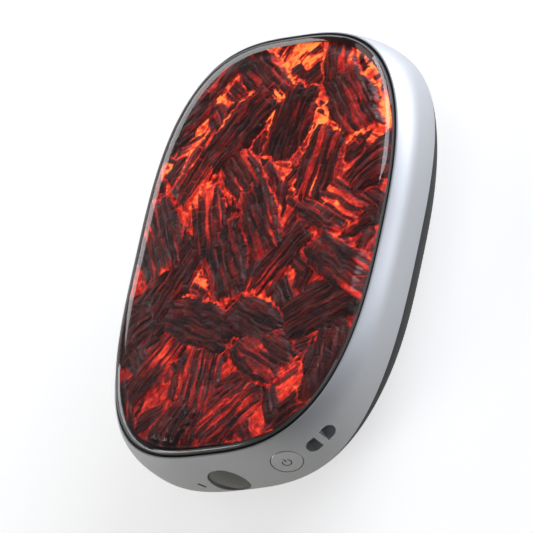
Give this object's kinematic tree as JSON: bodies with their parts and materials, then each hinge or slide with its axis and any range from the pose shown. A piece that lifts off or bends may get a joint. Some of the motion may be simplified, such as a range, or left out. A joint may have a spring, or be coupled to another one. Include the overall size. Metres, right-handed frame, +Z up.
{
  "type": "rechargeable hand warmer",
  "caption": "Pebble-shaped rechargeable hand warmer: silver frame, dark back shell, clear domed lens over an ember panel, side button, lanyard slot and plugged charging port.",
  "frame": {"origin": "middle of the flat back face that the warmer rests on", "axes": "+Z up out of the lens, +Y along the body away from the port end, +X towards the side with the lanyard slot"},
  "size_m": [0.074, 0.105, 0.025],
  "materials": {
    "lens_clear": "clear, polished",
    "gasket_black": "satin",
    "ember": "moulded relief, dark charred texture with glowing cracks",
    "diffuser_white": "milky",
    "board_green": "solder mask",
    "lamp": "small lamp body",
    "silver_paint": "silver satin paint",
    "shell_grey": "fine matt texture",
    "chassis_grey": "moulded",
    "screw_steel": "zinc plated",
    "cell_foil": "laminated foil",
    "tab_nickel": "nickel strip",
    "foam_grey": "closed-cell foam",
    "film_amber": "polyimide film",
    "sensor_black": "epoxy bead",
    "pad_white": "felt pad",
    "chip_black": "moulded package",
    "coil_grey": "ferrite",
    "socket_steel": "plated shell",
    "tongue_black": "moulded",
    "switch_steel": "stamped",
    "plunger_black": "moulded",
    "button_silver": "silver satin paint",
    "plug_grey": "satin",
    "window_dark": "smoked",
    "led_white": "small lamp body",
    "wire_red": "wire jacket",
    "wire_black": "wire jacket"
  },
  "bodies": {
    "body": {"front_lens": "lens_clear", "lens_gasket": "gasket_black", "ember_panel": "ember", "light_diffuser": "diffuser_white", "light_board": "board_green", "panel_leds": "lamp", "mid_frame": "silver_paint", "back_cover": "shell_grey", "inner_chassis": "chassis_grey", "chassis_screws": "screw_steel", "board_screws": "screw_steel", "battery_cell": "cell_foil", "cell_tabs": "tab_nickel", "protection_board": "board_green", "cell_foam": "foam_grey", "heating_film": "film_amber", "heater_sensor": "sensor_black", "insulation_pad": "pad_white", "control_board": "board_green", "control_chips": "chip_black", "power_coil": "coil_grey", "charging_socket": "socket_steel", "socket_tongue": "tongue_black", "button_switch": "switch_steel", "status_window": "window_dark", "status_led": "led_white", "battery_leads": "wire_red", "heater_leads": "wire_black"},
    "button": {"power_button": "button_silver", "switch_plunger": "plunger_black"},
    "plug": {"port_plug": "plug_grey"}
  },
  "joints": [
    {"name": "button_press", "type": "slide", "parent": "body", "child": "button", "axis": [-0.3152, 0.949, 0], "range_m": [0, 0.0005], "stiffness_N_per_m": 2500, "springref_m": -0.0002},
    {"name": "plug_pull", "type": "slide", "parent": "body", "child": "plug", "axis": [0, -1, 0], "range_m": [0, 0.008]}
  ]
}
